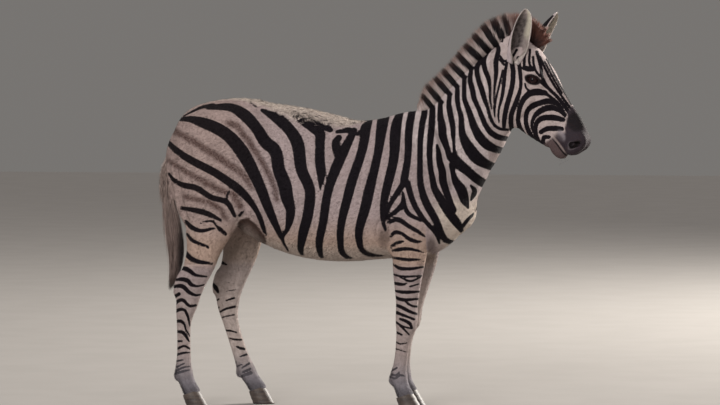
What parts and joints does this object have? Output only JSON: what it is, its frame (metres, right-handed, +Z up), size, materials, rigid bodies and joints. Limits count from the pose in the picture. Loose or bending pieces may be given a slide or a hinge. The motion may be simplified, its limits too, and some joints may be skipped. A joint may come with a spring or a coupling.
{
  "type": "zebra model",
  "caption": "Life-size standing zebra with an upright mane and a tufted tail, resting on its hooves.",
  "frame": {"origin": "on the floor, at the middle of the bounding box seen from above", "axes": "+X the way the animal faces, +Y its left side, +Z up"},
  "size_m": [1.8988, 0.4876, 1.7581],
  "materials": {
    "coat": "short matt fur, near-black stripes on cream",
    "leg_coat": "very short fur, narrow dark bars on grey cream",
    "mane_hair": "stiff upright hair, banded like the neck",
    "tail_hair": "long loose dark hair",
    "eye": "wet gloss",
    "hoof": "dull ringed horn"
  },
  "bodies": {
    "root": {"trunk": "coat", "neck": "coat", "head": "coat", "mane": "mane_hair", "tail_dock": "coat", "tail_switch": "tail_hair", "ear_right": "coat", "eye_right": "eye", "forearm_right": "coat", "fore_cannon_right": "leg_coat", "fore_pastern_right": "leg_coat", "fore_hoof_right": "hoof", "thigh_right": "coat", "hind_cannon_right": "leg_coat", "hind_pastern_right": "leg_coat", "hind_hoof_right": "hoof", "ear_left": "coat", "eye_left": "eye", "forearm_left": "coat", "fore_cannon_left": "leg_coat", "fore_pastern_left": "leg_coat", "fore_hoof_left": "hoof", "thigh_left": "coat", "hind_cannon_left": "leg_coat", "hind_pastern_left": "leg_coat", "hind_hoof_left": "hoof"}
  },
  "joints": []
}
